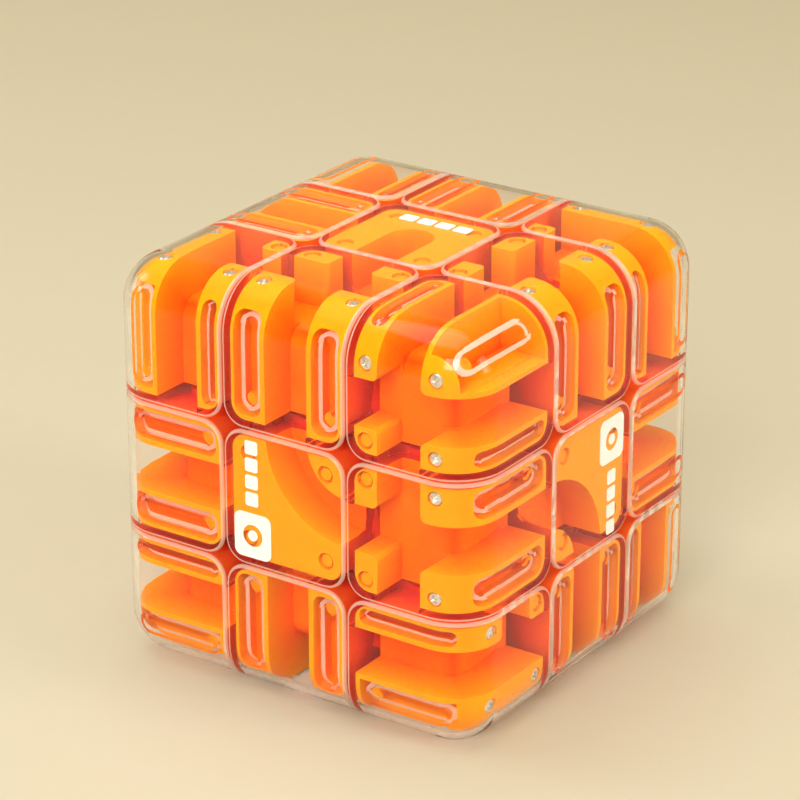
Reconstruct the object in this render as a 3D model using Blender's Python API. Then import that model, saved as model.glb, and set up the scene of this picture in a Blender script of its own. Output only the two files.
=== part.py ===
"""Turning cube maze: three by three by three tiles with ball channels, each tile an orange
moulded base under its own clear cover, held together by feet around a screwed centre piece.

Metres, +Z up, the origin at the centre of the middle piece, where all turning axes meet.
The front face looks along -Y, the right face along +X and the top face along +Z.
"""

import math

import bmesh
import bpy
from mathutils import Matrix, Vector

MM = 0.001

# Tiles
PITCH = 31.0 * MM           # centre to centre of two tiles
TILE_GAP = 0.4 * MM         # between two neighbouring covers
COVER_WALL = 1.2 * MM
COVER_FIT = 0.3 * MM        # between a cover and the base inside it
COVER_DEPTH = 13.0 * MM     # how far a cover reaches down from its outer face
EDGE_RADIUS = 11.0 * MM     # long outer edges and corners of the cube
TILE_RADIUS = 5.0 * MM      # corners of one tile, seen from outside
EDGE_STEPS = 3
TILE_STEPS = 2
FLATNESS = 0.0001 * MM
SAME_PLACE = 0.001 * MM

# Ball channels
CHANNEL_WIDTH = 10.6 * MM
CHANNEL_LINE = 28.0 * MM    # middle line of the channels that run beside a cube edge
CHANNEL_FLOOR = 10.6 * MM   # floor of a channel, below the outer face
STROKE_LAP = 0.5 * MM
PORT_RADIUS = 5.2 * MM      # U-shaped opening where a channel leaves a cover
PORT_DEPTH = 5.4 * MM       # centre of its round end, below the outer face
PORT_STEPS = 5
BEND_STEPS = 5
BEND_OVERRUN = math.radians(6.0)  # past both ends of the quarter turn
BALL_RADIUS = 4.0 * MM
BALL_DEPTH = 5.5 * MM
BALL_DROP = 0.8 * MM        # the ball lies on the lower wall of its channel

# Turning mechanism: inside the sphere, tiles part at FOOT_PLANE; outside it, at half a pitch
TURN_RADIUS = 30.4 * MM
TURN_CLEARANCE = 0.5 * MM   # each side of the sphere
TURN_STEPS = 20
FOOT_PLANE = 8.4 * MM
NECK_INSET = 0.8 * MM       # the neck between foot and flange is a little slimmer

# Middle piece, centre screws and the pockets that they sit in
ARM_RADIUS = 5.2 * MM
HUB_RADIUS = 7.4 * MM
ARM_REACH = FOOT_PLANE - TILE_GAP / 2
SHANK_RADIUS = 1.5 * MM
SHANK_START = 3.4 * MM
HEAD_BOTTOM = 16.4 * MM
HEAD_TOP = 18.4 * MM
HEAD_RADIUS = 3.0 * MM
PILOT_RADIUS = 1.8 * MM
PILOT_START = 3.0 * MM
BORE_RADIUS = 1.9 * MM
BORE_START = 4.0 * MM
SHOULDER = 12.0 * MM
POCKET_RADIUS = 4.2 * MM
POCKET_TOP = 20.0 * MM
ROUND_STEPS = 12

WAYS = {
    "-x": Vector((-1, 0, 0)), "+x": Vector((1, 0, 0)),
    "-y": Vector((0, -1, 0)), "+y": Vector((0, 1, 0)),
    "-z": Vector((0, 0, -1)), "+z": Vector((0, 0, 1)),
}
WORDS = (("left", "right"), ("front", "back"), ("bottom", "top"))
KINDS = {1: "centre", 2: "edge", 3: "corner"}

# For each tile, the channels on each of its outer faces: the sides that they run to from the
# middle of that face. A side that is the edge of the cube leads over to the next face.
MAZE = {
    (0, 0, 1): {"+z": ["-y"]},
    (0, -1, 0): {"-y": ["+z", "+x"]},
    (1, 0, 0): {"+x": ["-y", "-z"]},
    (0, 1, 0): {"+y": ["-x", "+x"]},
    (-1, 0, 0): {"-x": ["-y", "+z"]},
    (0, 0, -1): {"-z": ["+x"]},
    (0, -1, 1): {"+z": ["-x", "+x", "+y", "-y"], "-y": ["+z", "-z"]},
    (1, 0, 1): {"+z": ["-y", "+y", "-x", "+x"], "+x": ["+z", "-z"]},
    (-1, 0, 1): {"+z": ["+x", "-x"], "-x": ["+z", "-z"]},
    (0, 1, 1): {"+z": ["-y", "+y"], "+y": ["+z", "-z"]},
    (1, -1, 0): {"-y": ["-x", "+z", "-z", "+x"], "+x": ["-y", "+y"]},
    (-1, -1, 0): {"-y": ["+x", "-x"], "-x": ["-y", "+y"]},
    (1, 1, 0): {"+x": ["-y", "+y"], "+y": ["+x", "-x"]},
    (-1, 1, 0): {"-x": ["-y", "+y"], "+y": ["-x", "+x"]},
    (0, -1, -1): {"-y": ["+z", "-z"], "-z": ["-y", "+y"]},
    (1, 0, -1): {"+x": ["+z", "-z"], "-z": ["+x", "-x"]},
    (-1, 0, -1): {"-x": ["+z", "-z"], "-z": ["-x", "+x"]},
    (0, 1, -1): {"+y": ["+z", "-z"], "-z": ["+y", "-y"]},
    (1, -1, 1): {"+z": ["+y", "-y"], "-y": ["+z", "-x", "-z", "+x"], "+x": ["-y", "+y"]},
    (-1, -1, 1): {"-y": ["+z", "-z"], "+z": ["-y", "+x", "+y"]},
    (1, 1, 1): {"+x": ["+z", "-z"], "+z": ["+x", "-x", "-y"]},
    (-1, 1, 1): {"+z": ["-y", "+y"], "+y": ["+z", "-z"]},
    (1, -1, -1): {"-y": ["-x", "+x"], "+x": ["-y", "+z", "+y"]},
    (-1, -1, -1): {"-y": ["+x", "-x"], "-x": ["-y", "+y"]},
    (1, 1, -1): {"+x": ["+z", "-z"], "-z": ["+x", "-y"]},
    (-1, 1, -1): {"-x": ["-y", "+y"], "+y": ["-x", "+x"]},
}
BALL_TILE = (0, 1, 0)


def clear_scene():
    for item in list(bpy.data.objects):
        bpy.data.objects.remove(item, do_unlink=True)


def make_collection(name):
    collection = bpy.data.collections.new(name)
    bpy.context.scene.collection.children.link(collection)
    return collection


def make_material(name, colour, roughness, metallic=0.0, alpha=1.0):
    material = bpy.data.materials.new(name)
    material.use_nodes = True
    shader = material.node_tree.nodes["Principled BSDF"]
    shader.inputs["Base Color"].default_value = (*colour, 1.0)
    shader.inputs["Roughness"].default_value = roughness
    shader.inputs["Metallic"].default_value = metallic
    shader.inputs["Alpha"].default_value = alpha
    return material


def object_from(bm, name, collection):
    mesh = bpy.data.meshes.new(name)
    bm.to_mesh(mesh)
    bm.free()
    item = bpy.data.objects.new(name, mesh)
    collection.objects.link(item)
    return item


def cutter_from(bm, name, collection):
    item = object_from(bm, name, collection)
    item.hide_render = True
    item.display_type = "WIRE"
    return item


def box_mesh(low, high):
    bm = bmesh.new()
    bmesh.ops.create_cube(bm, size=1.0)
    bmesh.ops.scale(bm, vec=high - low, verts=bm.verts)
    bmesh.ops.translate(bm, vec=(low + high) / 2, verts=bm.verts)
    return bm


def sphere_mesh(radius, steps):
    bm = bmesh.new()
    bmesh.ops.create_uvsphere(bm, u_segments=steps, v_segments=steps // 2, radius=radius)
    return bm


def rod_mesh(start, end, radius, steps):
    """A cylinder from start to end."""
    run = end - start
    turn = Vector((0, 0, 1)).rotation_difference(run).to_matrix().to_4x4()
    bm = bmesh.new()
    bmesh.ops.create_cone(
        bm, cap_ends=True, segments=steps, radius1=radius, radius2=radius, depth=run.length,
        matrix=Matrix.Translation((start + end) / 2) @ turn,
    )
    return bm


def boolean(item, operation, other):
    step = item.modifiers.new(f"{operation.lower()} {other.name}"[:60], "BOOLEAN")
    step.operation = operation
    step.solver = "EXACT"
    step.object = other


def span(index, half, inner, outer):
    """Low and high of a tile along one axis: a middle tile spans -half to half, an outer one
    inner to outer on its own side of the cube."""
    if index == 0:
        return -half, half
    return (inner, outer) if index > 0 else (-outer, -inner)


def tile_box(tile, half, inner, outer):
    """Corners of a box: half is a middle tile's half width, inner and outer an outer tile's."""
    spans = [span(index, half, inner, outer) for index in tile]
    return Vector([low for low, _ in spans]), Vector([high for _, high in spans])


def tile_space(tile, inset):
    """The box of one whole tile, its faces moved in by inset."""
    side = TILE_GAP / 2 + inset
    return tile_box(tile, PITCH / 2 - side, PITCH / 2 + side, PITCH * 1.5 - inset)


def edges_of(bm, tile, wanted):
    """The box's long outer edges ("cube") or the corner edges of its faces ("tile")."""
    middle = sum((vert.co for vert in bm.verts), Vector()) / len(bm.verts)
    found = []
    for edge in bm.edges:
        run = edge.verts[1].co - edge.verts[0].co
        along = max(range(3), key=lambda axis: abs(run[axis]))
        off = (edge.verts[0].co + edge.verts[1].co) / 2 - middle
        outward = [
            tile[axis] * off[axis] > 0 for axis in range(3) if axis != along
        ]
        if wanted == "cube" and all(outward):
            found.append(edge)
        if wanted == "tile" and not any(outward) and tile[along]:
            found.append(edge)
    return found


def is_flat(face):
    return all(
        abs((vert.co - face.verts[0].co).dot(face.normal)) < FLATNESS for vert in face.verts
    )


def rounded_tile(tile, inset):
    """One tile's block, with the cube's long edges and the tile's own corners rounded."""
    bm = box_mesh(*tile_space(tile, inset))
    corners = [
        (edge.verts[0].co.copy(), edge.verts[1].co.copy()) for edge in edges_of(bm, tile, "tile")
    ]
    cube_edges = edges_of(bm, tile, "cube")
    if cube_edges:
        bmesh.ops.bevel(
            bm, geom=cube_edges, offset=EDGE_RADIUS - inset, segments=EDGE_STEPS, profile=0.5,
            affect="EDGES", clamp_overlap=False,
        )
    tile_edges = [
        edge for edge in bm.edges
        if any((edge.verts[0].co - a).length + (edge.verts[1].co - b).length < SAME_PLACE
               or (edge.verts[0].co - b).length + (edge.verts[1].co - a).length < SAME_PLACE
               for a, b in corners)
    ]
    bmesh.ops.bevel(
        bm, geom=tile_edges, offset=TILE_RADIUS - inset, segments=TILE_STEPS, profile=0.5,
        affect="EDGES", clamp_overlap=False,
    )
    bent = [face for face in bm.faces if not is_flat(face)]
    bmesh.ops.triangulate(bm, faces=bent)
    return bm


def crossing(tile, face, depth):
    """The point where a face's channel lines cross, depth below the outer face."""
    outward = WAYS[face]
    flat = Vector([0 if outward[axis] else tile[axis] * CHANNEL_LINE for axis in range(3)])
    return flat + outward * (PITCH * 1.5 - depth)


def side_distance(tile, face, way):
    """From a face's crossing to the side of the tile that a channel runs to."""
    along = WAYS[way]
    return PITCH / 2 + (Vector(tile) * PITCH - crossing(tile, face, 0)).dot(along)


def box_between(first, second):
    low = Vector([min(pair) for pair in zip(first, second)])
    high = Vector([max(pair) for pair in zip(first, second)])
    return box_mesh(low, high)


def channel_stroke(tile, face, way, setback):
    """The straight cut from a face's crossing, less setback, to one of its sides. Of the two
    cuts that meet over a cube edge, the second stops where the first one's floor begins."""
    outward, along = WAYS[face], WAYS[way]
    across = outward.cross(along)
    faces = list(MAZE[tile])
    reach = side_distance(tile, face, way)
    if way in faces and faces.index(way) < faces.index(face):
        reach += STROKE_LAP - CHANNEL_FLOOR
    else:
        reach += CHANNEL_WIDTH / 4
    base = crossing(tile, face, CHANNEL_FLOOR)
    return box_between(
        base - along * setback - across * CHANNEL_WIDTH / 2,
        base + along * reach + across * CHANNEL_WIDTH / 2 + outward * PITCH / 2,
    )


def channel_bend(tile, face, first, second):
    """The quarter turn between two sides of a face, round the face's corner between them."""
    outward = WAYS[face]
    pivot = crossing(tile, face, CHANNEL_FLOOR) + (WAYS[first] + WAYS[second]) * PITCH / 2
    inner, outer = (PITCH - CHANNEL_WIDTH) / 2, (PITCH + CHANNEL_WIDTH) / 2
    start, end = -WAYS[second], -WAYS[first]
    axis = start.cross(end)
    spin_back = Matrix.Rotation(-BEND_OVERRUN, 3, axis)
    bm = bmesh.new()
    corners = [
        pivot + spin_back @ start * radius + outward * height
        for radius, height in ((inner, 0), (outer, 0), (outer, PITCH / 2), (inner, PITCH / 2))
    ]
    sheet = bm.faces.new([bm.verts.new(corner) for corner in corners])
    bmesh.ops.spin(
        bm, geom=[sheet, *sheet.edges, *sheet.verts], cent=pivot, axis=axis,
        angle=math.pi / 2 + 2 * BEND_OVERRUN, steps=BEND_STEPS, use_merge=False, use_duplicate=False,
    )
    bmesh.ops.remove_doubles(bm, verts=bm.verts, dist=FLATNESS)
    bmesh.ops.recalc_face_normals(bm, faces=bm.faces)
    return bm


def dead_end(tile, face):
    """The round end of a channel in the middle of a face."""
    start = crossing(tile, face, CHANNEL_FLOOR)
    return rod_mesh(start, start + WAYS[face] * PITCH / 2, CHANNEL_WIDTH / 2, ROUND_STEPS)


def is_bend(tile, ways):
    return sum(map(abs, tile)) == 1 and len(ways) == 2 and WAYS[ways[0]] != -WAYS[ways[1]]


def channel_cuts(tile):
    """Every cut that makes a tile's channels."""
    for face, ways in MAZE[tile].items():
        if is_bend(tile, ways):
            yield channel_bend(tile, face, *ways)
        elif len(ways) == 1:
            yield channel_stroke(tile, face, ways[0], -STROKE_LAP)
            yield dead_end(tile, face)
        else:
            for way in ways:
                yield channel_stroke(tile, face, way, CHANNEL_WIDTH / 2)


def ports(tile):
    """The faces and sides where a channel leaves a tile towards the next one."""
    for face, ways in MAZE[tile].items():
        for way in ways:
            if Vector(tile).dot(WAYS[way]) <= 0:
                yield face, way


def prism_mesh(outline, start, run):
    """A closed outline of points around start, drawn out along run."""
    bm = bmesh.new()
    sheet = bm.faces.new([bm.verts.new(start + point) for point in outline])
    drawn = bmesh.ops.extrude_face_region(bm, geom=[sheet])["geom"]
    moved = [item for item in drawn if isinstance(item, bmesh.types.BMVert)]
    bmesh.ops.translate(bm, vec=run, verts=moved)
    bmesh.ops.recalc_face_normals(bm, faces=bm.faces)
    return bm


def port_cut(tile, face, way):
    """The opening in a cover's side: a round end towards the floor, straight sides above it."""
    outward, along = WAYS[face], WAYS[way]
    across = outward.cross(along)
    lip = PORT_DEPTH - COVER_WALL
    outline = [across * PORT_RADIUS + outward * lip, -across * PORT_RADIUS + outward * lip]
    for step in range(PORT_STEPS + 1):
        angle = math.pi * step / PORT_STEPS
        outline.append(
            -across * PORT_RADIUS * math.cos(angle) - outward * PORT_RADIUS * math.sin(angle)
        )
    start = crossing(tile, face, PORT_DEPTH)
    start += along * (side_distance(tile, face, way) - COVER_WALL * 2)
    return prism_mesh(outline, start, along * COVER_WALL * 3)


def tile_name(tile):
    words = [WORDS[axis][index > 0] for axis, index in enumerate(tile) if index]
    return "_".join([KINDS[len(words)], *reversed(words)])


def make_cover(tile, parts, cutters, material):
    """The clear cover: a thin open box over the outer faces of one tile."""
    name = tile_name(tile) + "_cover"
    cover = object_from(rounded_tile(tile, 0), name, parts)
    hollow = cutter_from(rounded_tile(tile, COVER_WALL), name + "_hollow", cutters)
    deep = PITCH * 1.5 - COVER_DEPTH
    below = cutter_from(box_mesh(*tile_box(tile, PITCH, 0, deep)), name + "_below", cutters)
    boolean(cover, "DIFFERENCE", hollow)
    boolean(cover, "DIFFERENCE", below)
    for number, (face, way) in enumerate(ports(tile)):
        port = cutter_from(port_cut(tile, face, way), f"{name}_port_{number}", cutters)
        boolean(cover, "DIFFERENCE", port)
    cover.data.materials.append(material)
    return cover


def make_base(tile, parts, cutters, spheres, material):
    """The orange base: a channel block inside the cover, a flange below it and a foot that
    the neighbouring tiles hold."""
    name = tile_name(tile) + "_base"
    base = object_from(rounded_tile(tile, COVER_WALL + COVER_FIT), name, parts)
    side = TILE_GAP / 2
    deep = PITCH * 1.5 - COVER_DEPTH - COVER_FIT
    flange = cutter_from(
        box_mesh(*tile_box(tile, PITCH / 2 - side, PITCH / 2 + side, deep)),
        name + "_flange", cutters,
    )
    foot = cutter_from(
        box_mesh(*tile_box(tile, FOOT_PLANE - side, FOOT_PLANE + side, TURN_RADIUS)),
        name + "_foot", cutters,
    )
    boolean(foot, "INTERSECT", spheres["inner"])
    neck = cutter_from(
        box_mesh(*tile_box(tile, FOOT_PLANE - NECK_INSET, PITCH / 2 + NECK_INSET, deep - NECK_INSET)),
        name + "_neck", cutters,
    )
    boolean(base, "UNION", flange)
    boolean(base, "DIFFERENCE", spheres["outer"])
    boolean(base, "UNION", foot)
    boolean(base, "UNION", neck)
    for number, cut in enumerate(channel_cuts(tile)):
        channel = cutter_from(cut, f"{name}_channel_{number}", cutters)
        boolean(base, "DIFFERENCE", channel)
    if sum(map(abs, tile)) == 1:
        out = Vector(tile)
        bore = cutter_from(
            rod_mesh(out * BORE_START, out * (SHOULDER + MM), BORE_RADIUS, ROUND_STEPS),
            name + "_bore", cutters,
        )
        pocket = cutter_from(
            rod_mesh(out * SHOULDER, out * POCKET_TOP, POCKET_RADIUS, ROUND_STEPS),
            name + "_pocket", cutters,
        )
        boolean(base, "DIFFERENCE", bore)
        boolean(base, "DIFFERENCE", pocket)
    base.data.materials.append(material)
    return base


def make_core(parts, cutters, material):
    """The six-armed middle piece that the centre screws go into."""
    core = object_from(sphere_mesh(HUB_RADIUS, ROUND_STEPS), "core_spider", parts)
    for letter in "xyz":
        out = WAYS["+" + letter]
        arm = cutter_from(
            rod_mesh(-out * ARM_REACH, out * ARM_REACH, ARM_RADIUS, ROUND_STEPS),
            "core_arm_" + letter, cutters,
        )
        boolean(core, "UNION", arm)
    for way, out in WAYS.items():
        pilot = cutter_from(
            rod_mesh(out * PILOT_START, out * (ARM_REACH + MM), PILOT_RADIUS, ROUND_STEPS),
            "core_pilot_" + way, cutters,
        )
        boolean(core, "DIFFERENCE", pilot)
    core.data.materials.append(material)
    return core


def make_screw(tile, parts, cutters, material):
    """One of the six screws that hold the centre tiles on the core."""
    out = Vector(tile)
    name = tile_name(tile).replace("centre", "centre_screw")
    screw = object_from(
        rod_mesh(out * SHANK_START, out * (HEAD_BOTTOM + MM), SHANK_RADIUS, ROUND_STEPS), name, parts
    )
    head = cutter_from(
        rod_mesh(out * HEAD_BOTTOM, out * HEAD_TOP, HEAD_RADIUS, ROUND_STEPS), name + "_head", cutters
    )
    boolean(screw, "UNION", head)
    screw.data.materials.append(material)
    return screw


def make_ball(parts, material):
    """The steel ball, at rest in the straight channel of the back centre tile."""
    place = crossing(BALL_TILE, "+y", BALL_DEPTH) - WAYS["+z"] * BALL_DROP
    ball = object_from(sphere_mesh(BALL_RADIUS, ROUND_STEPS), "maze_ball", parts)
    ball.location = place
    ball.data.materials.append(material)
    return ball


def make_layer(name, height, collection):
    """An empty on the upright axis, which the pieces of one turning layer hang on."""
    layer = bpy.data.objects.new(name, None)
    layer.location = (0, 0, height)
    collection.objects.link(layer)
    return layer


def hang(item, layer):
    item.parent = layer
    item.matrix_parent_inverse = Matrix.Translation(layer.location).inverted()


def main():
    clear_scene()
    parts = make_collection("turning_cube_maze")
    cutters = make_collection("cutters")
    orange = make_material("orange_abs", (1.0, 0.33, 0.01), 0.35)
    clear = make_material("clear_polystyrene", (0.95, 0.93, 0.96), 0.05, alpha=0.3)
    grey = make_material("white_nylon", (0.8, 0.8, 0.78), 0.45)
    steel = make_material("zinc_plated_steel", (0.7, 0.7, 0.72), 0.3, metallic=1.0)
    chrome = make_material("polished_steel", (0.8, 0.8, 0.82), 0.1, metallic=1.0)
    spheres = {
        "outer": cutter_from(
            sphere_mesh(TURN_RADIUS + TURN_CLEARANCE, TURN_STEPS), "turn_sphere_outer", cutters
        ),
        "inner": cutter_from(
            sphere_mesh(TURN_RADIUS - TURN_CLEARANCE, TURN_STEPS), "turn_sphere_inner", cutters
        ),
    }
    layers = {
        1: make_layer("top_layer_axis", PITCH, parts),
        -1: make_layer("bottom_layer_axis", -PITCH, parts),
    }
    for tile in MAZE:
        pieces = [
            make_base(tile, parts, cutters, spheres, orange),
            make_cover(tile, parts, cutters, clear),
        ]
        if tile[2]:
            for piece in pieces:
                hang(piece, layers[tile[2]])
        if sum(map(abs, tile)) == 1:
            make_screw(tile, parts, cutters, steel)
    make_core(parts, cutters, grey)
    make_ball(parts, chrome)


main()
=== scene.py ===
"""Looks of a turning cube ball maze: moulded orange tile bases with channels, walls and
pockets, clear ribbed covers over them, small screws, plain printed marks and the steel ball."""

import itertools
import math

import bmesh
import bpy
from bpy.props import FloatProperty, FloatVectorProperty, IntProperty, PointerProperty
from mathutils import Matrix, Vector


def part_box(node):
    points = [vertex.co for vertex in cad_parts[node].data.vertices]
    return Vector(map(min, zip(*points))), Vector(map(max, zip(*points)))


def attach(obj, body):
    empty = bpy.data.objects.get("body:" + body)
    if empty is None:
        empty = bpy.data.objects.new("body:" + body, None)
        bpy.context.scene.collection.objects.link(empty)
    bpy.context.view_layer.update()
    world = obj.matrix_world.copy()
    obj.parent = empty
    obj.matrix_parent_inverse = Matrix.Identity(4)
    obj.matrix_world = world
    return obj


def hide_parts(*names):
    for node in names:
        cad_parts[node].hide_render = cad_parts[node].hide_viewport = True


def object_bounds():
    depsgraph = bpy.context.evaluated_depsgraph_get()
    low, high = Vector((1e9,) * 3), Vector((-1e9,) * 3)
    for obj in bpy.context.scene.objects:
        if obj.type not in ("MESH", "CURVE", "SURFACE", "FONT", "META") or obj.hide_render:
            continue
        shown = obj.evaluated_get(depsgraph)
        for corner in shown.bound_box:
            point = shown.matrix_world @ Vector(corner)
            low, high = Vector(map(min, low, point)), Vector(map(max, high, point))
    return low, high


bl_info = {
    "name": "Turning Cube Ball Maze",
    "version": (1, 0, 0),
    "blender": (4, 5, 0),
    "location": "3D View > Sidebar > Cube Maze",
    "description": "Builds the tiles, covers, screws, marks, ball and studio of a cube maze",
    "category": "Object",
}

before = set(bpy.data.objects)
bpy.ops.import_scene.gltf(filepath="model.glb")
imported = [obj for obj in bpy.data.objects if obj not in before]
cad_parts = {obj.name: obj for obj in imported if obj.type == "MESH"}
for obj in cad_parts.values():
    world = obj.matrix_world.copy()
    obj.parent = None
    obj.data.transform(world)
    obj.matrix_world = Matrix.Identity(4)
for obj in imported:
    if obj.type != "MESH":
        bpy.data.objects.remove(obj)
CAD_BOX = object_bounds()
MM = 0.001
SAME_PLACE = 2e-6
HALF = (CAD_BOX[1][0] - CAD_BOX[0][0]) / 2
PITCH = HALF * 2 / 3
COVER_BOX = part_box("centre_top_cover")
COVER_SIDE = (COVER_BOX[1][0] - COVER_BOX[0][0]) / 2
COVER_DEPTH = COVER_BOX[1][2] - COVER_BOX[0][2]
BALL_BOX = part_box("maze_ball")
SCREW_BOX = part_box("centre_screw_top")
FOOT_TOP_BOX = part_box("centre_top_base")

WAYS = {
    "-x": Vector((-1, 0, 0)), "+x": Vector((1, 0, 0)),
    "-y": Vector((0, -1, 0)), "+y": Vector((0, 1, 0)),
    "-z": Vector((0, 0, -1)), "+z": Vector((0, 0, 1)),
}
WORDS = (("left", "right"), ("front", "back"), ("bottom", "top"))
KINDS = {1: "centre", 2: "edge", 3: "corner"}
LAYERS = {-1: "bottom_layer", 0: "middle_layer", 1: "top_layer"}

# The channels on each outer face of each tile, as the sides that they run to.
MAZE = {
    (0, 0, 1): {"+z": ["-y"]},
    (0, -1, 0): {"-y": ["+z", "+x"]},
    (1, 0, 0): {"+x": ["-y", "-z"]},
    (0, 1, 0): {"+y": ["-x", "+x"]},
    (-1, 0, 0): {"-x": ["-y", "+z"]},
    (0, 0, -1): {"-z": ["+x"]},
    (0, -1, 1): {"+z": ["-x", "+x", "+y", "-y"], "-y": ["+z", "-z"]},
    (1, 0, 1): {"+z": ["-y", "+y", "-x", "+x"], "+x": ["+z", "-z"]},
    (-1, 0, 1): {"+z": ["+x", "-x"], "-x": ["+z", "-z"]},
    (0, 1, 1): {"+z": ["-y", "+y"], "+y": ["+z", "-z"]},
    (1, -1, 0): {"-y": ["-x", "+z", "-z", "+x"], "+x": ["-y", "+y"]},
    (-1, -1, 0): {"-y": ["+x", "-x"], "-x": ["-y", "+y"]},
    (1, 1, 0): {"+x": ["-y", "+y"], "+y": ["+x", "-x"]},
    (-1, 1, 0): {"-x": ["-y", "+y"], "+y": ["-x", "+x"]},
    (0, -1, -1): {"-y": ["+z", "-z"], "-z": ["-y", "+y"]},
    (1, 0, -1): {"+x": ["+z", "-z"], "-z": ["+x", "-x"]},
    (-1, 0, -1): {"-x": ["+z", "-z"], "-z": ["-x", "+x"]},
    (0, 1, -1): {"+y": ["+z", "-z"], "-z": ["+y", "-y"]},
    (1, -1, 1): {"+z": ["+y", "-y"], "-y": ["+z", "-x", "-z", "+x"], "+x": ["-y", "+y"]},
    (-1, -1, 1): {"-y": ["+z", "-z"], "+z": ["-y", "+x", "+y"]},
    (1, 1, 1): {"+x": ["+z", "-z"], "+z": ["+x", "-x", "-y"]},
    (-1, 1, 1): {"+z": ["-y", "+y"], "+y": ["+z", "-z"]},
    (1, -1, -1): {"-y": ["-x", "+x"], "+x": ["-y", "+z", "+y"]},
    (-1, -1, -1): {"-y": ["+x", "-x"], "-x": ["-y", "+y"]},
    (1, 1, -1): {"+x": ["+z", "-z"], "-z": ["+x", "-y"]},
    (-1, 1, -1): {"-x": ["-y", "+y"], "+y": ["-x", "+x"]},
}
ISLAND_TILE = (1, -1, 1)


# ---------------------------------------------------------------- settings

def srgb(hex_colour):
    """A hex sRGB colour as linear red, green and blue."""
    values = [int(hex_colour[i:i + 2], 16) / 255 for i in (1, 3, 5)]
    return [v / 12.92 if v <= 0.04045 else ((v + 0.055) / 1.055) ** 2.4 for v in values]


def length(name, description, millimetres):
    return FloatProperty(
        name=name, description=description, default=millimetres * MM, unit="LENGTH", precision=4
    )


def colour(name, description, hex_colour):
    return FloatVectorProperty(
        name=name, description=description, default=srgb(hex_colour), subtype="COLOR",
        min=0, max=1, size=3,
    )


class MAZE_PG_tile(bpy.types.PropertyGroup):
    wall: length("Cover wall", "Thickness of a clear cover", 1.2)
    fit: length("Cover fit", "Gap between a cover and its base", 0.3)
    edge_radius: length("Cube edge radius", "Rounding of the long outer edges", 11.0)
    tile_radius: length("Tile corner radius", "Rounding of one tile's corners", 5.0)
    rim_radius: length("Cover rim radius", "Rounding of a cover's rim", 0.7)
    edge_steps: IntProperty(
        name="Edge steps", description="Facets across a rounded cube edge", default=10, min=2
    )
    corner_steps: IntProperty(
        name="Corner steps", description="Facets round a tile corner", default=7, min=2
    )


class MAZE_PG_channel(bpy.types.PropertyGroup):
    width: length("Channel width", "Clear width between the walls", 10.6)
    floor: length("Channel floor", "Depth of the floor below the outer face", 10.6)
    line: length("Channel line", "Middle of the channels beside a cube edge", 28.0)
    boss_radius: length("Boss radius", "Rounding of the bosses between channels", 1.3)
    roll_radius: length("Roll radius", "Rounding of a floor over a cube edge", 5.0)
    port_radius: length("Port radius", "Round end of the opening in a cover's side", 5.2)
    port_depth: length("Port depth", "Centre of that round end below the outer face", 5.4)


class MAZE_PG_detail(bpy.types.PropertyGroup):
    rim: length("Wall rim", "Width of the rim round a pocket", 1.15)
    pocket_depth: length("Pocket depth", "Depth of a wall pocket below the outer face", 8.6)
    pocket_over: length("Pocket reach", "How far a pocket reaches over a cube edge", 41.0)
    pocket_end: length("Pocket end", "Wall between a pocket's end and the tile's side", 1.2)
    pocket_open: length("Open pocket width", "Width of a pocket open to a cube edge", 6.4)
    rib_gap: length("Rib gap", "Gap between a clear rib and its pocket", 0.75)
    rib_half: length("Rib half width", "Most that a clear rib is wide, halved", 2.6)
    rib_wall: length("Rib wall", "Wall of a clear rib", 1.0)
    rib_depth: length("Rib depth", "How far a rib reaches below the outer face", 3.2)
    peg_depth: length("Peg depth", "Top of a pocket's peg below the outer face", 3.6)
    screw_side: length("Screw inset", "Screw centre to the tile's side", 4.3)
    screw_edge: length("Screw offset", "Screw centre to a channel's middle", 8.6)
    screw_radius: length("Screw head radius", "Radius of a small screw's head", 1.55)
    hole_radius: length("Post hole radius", "Radius of the hole round a ringed post", 1.9)
    hole_depth: length("Screw hole depth", "Depth of a screw hole in its base", 4.0)
    post_depth: length("Post hole depth", "Depth of the hole round a ringed post", 1.6)
    post_ring: length("Post ring", "Width of the hole round a post, and how low the post is", 0.5)
    post_reach: length("Post reach", "Post centre to a centre tile's middle", 9.8)
    ease: length("Eased edges", "Width of the easing on a base's edges", 0.4)


class MAZE_PG_island(bpy.types.PropertyGroup):
    half_width: length("Half width", "Half width of the wide pocket's deep part", 5.2)
    depth: length("Depth", "Depth of that part below the rounded edge", 7.4)
    shift: length("Shift", "How far its middle lies towards the right face", 0.5)
    front: length("Front wall", "Pocket's front end to the cube's front face", 3.4)
    back: length("Back wall", "Pocket's back end to the tile's side", 2.9)
    screw_front: length("Wall at the screw", "Front wall where the screw stands", 5.6)
    screw_room: length("Room round the screw", "Plastic left beside the screw head", 0.5)
    peg_drop: length("Peg drop", "How much lower its peg is than the others", 2.0)


class MAZE_PG_marks(bpy.types.PropertyGroup):
    ink: length("Ink height", "Thickness of the printed marks", 0.16)
    lift: length("Lift", "Gap between the base and the ink's underside", 0.04)
    plate_height: length("Plate half height", "Half height of the ringed plate", 5.1)
    plate_width: length("Plate half width", "Half width of the ringed plate", 4.7)
    plate_radius: length("Plate corners", "Rounding of the plate's corners", 1.7)
    ring_radius: length("Ring radius", "Hole in the plate", 2.5)
    dot_radius: length("Dot radius", "Dot in the plate's hole", 1.2)
    bar_width: length("Bar half width", "Half width of a bar", 1.6)
    bar_gap: length("Bar half gap", "Half the gap between two bars", 0.4)
    bar_radius: length("Bar corners", "Rounding of a bar's corners", 0.5)


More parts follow.
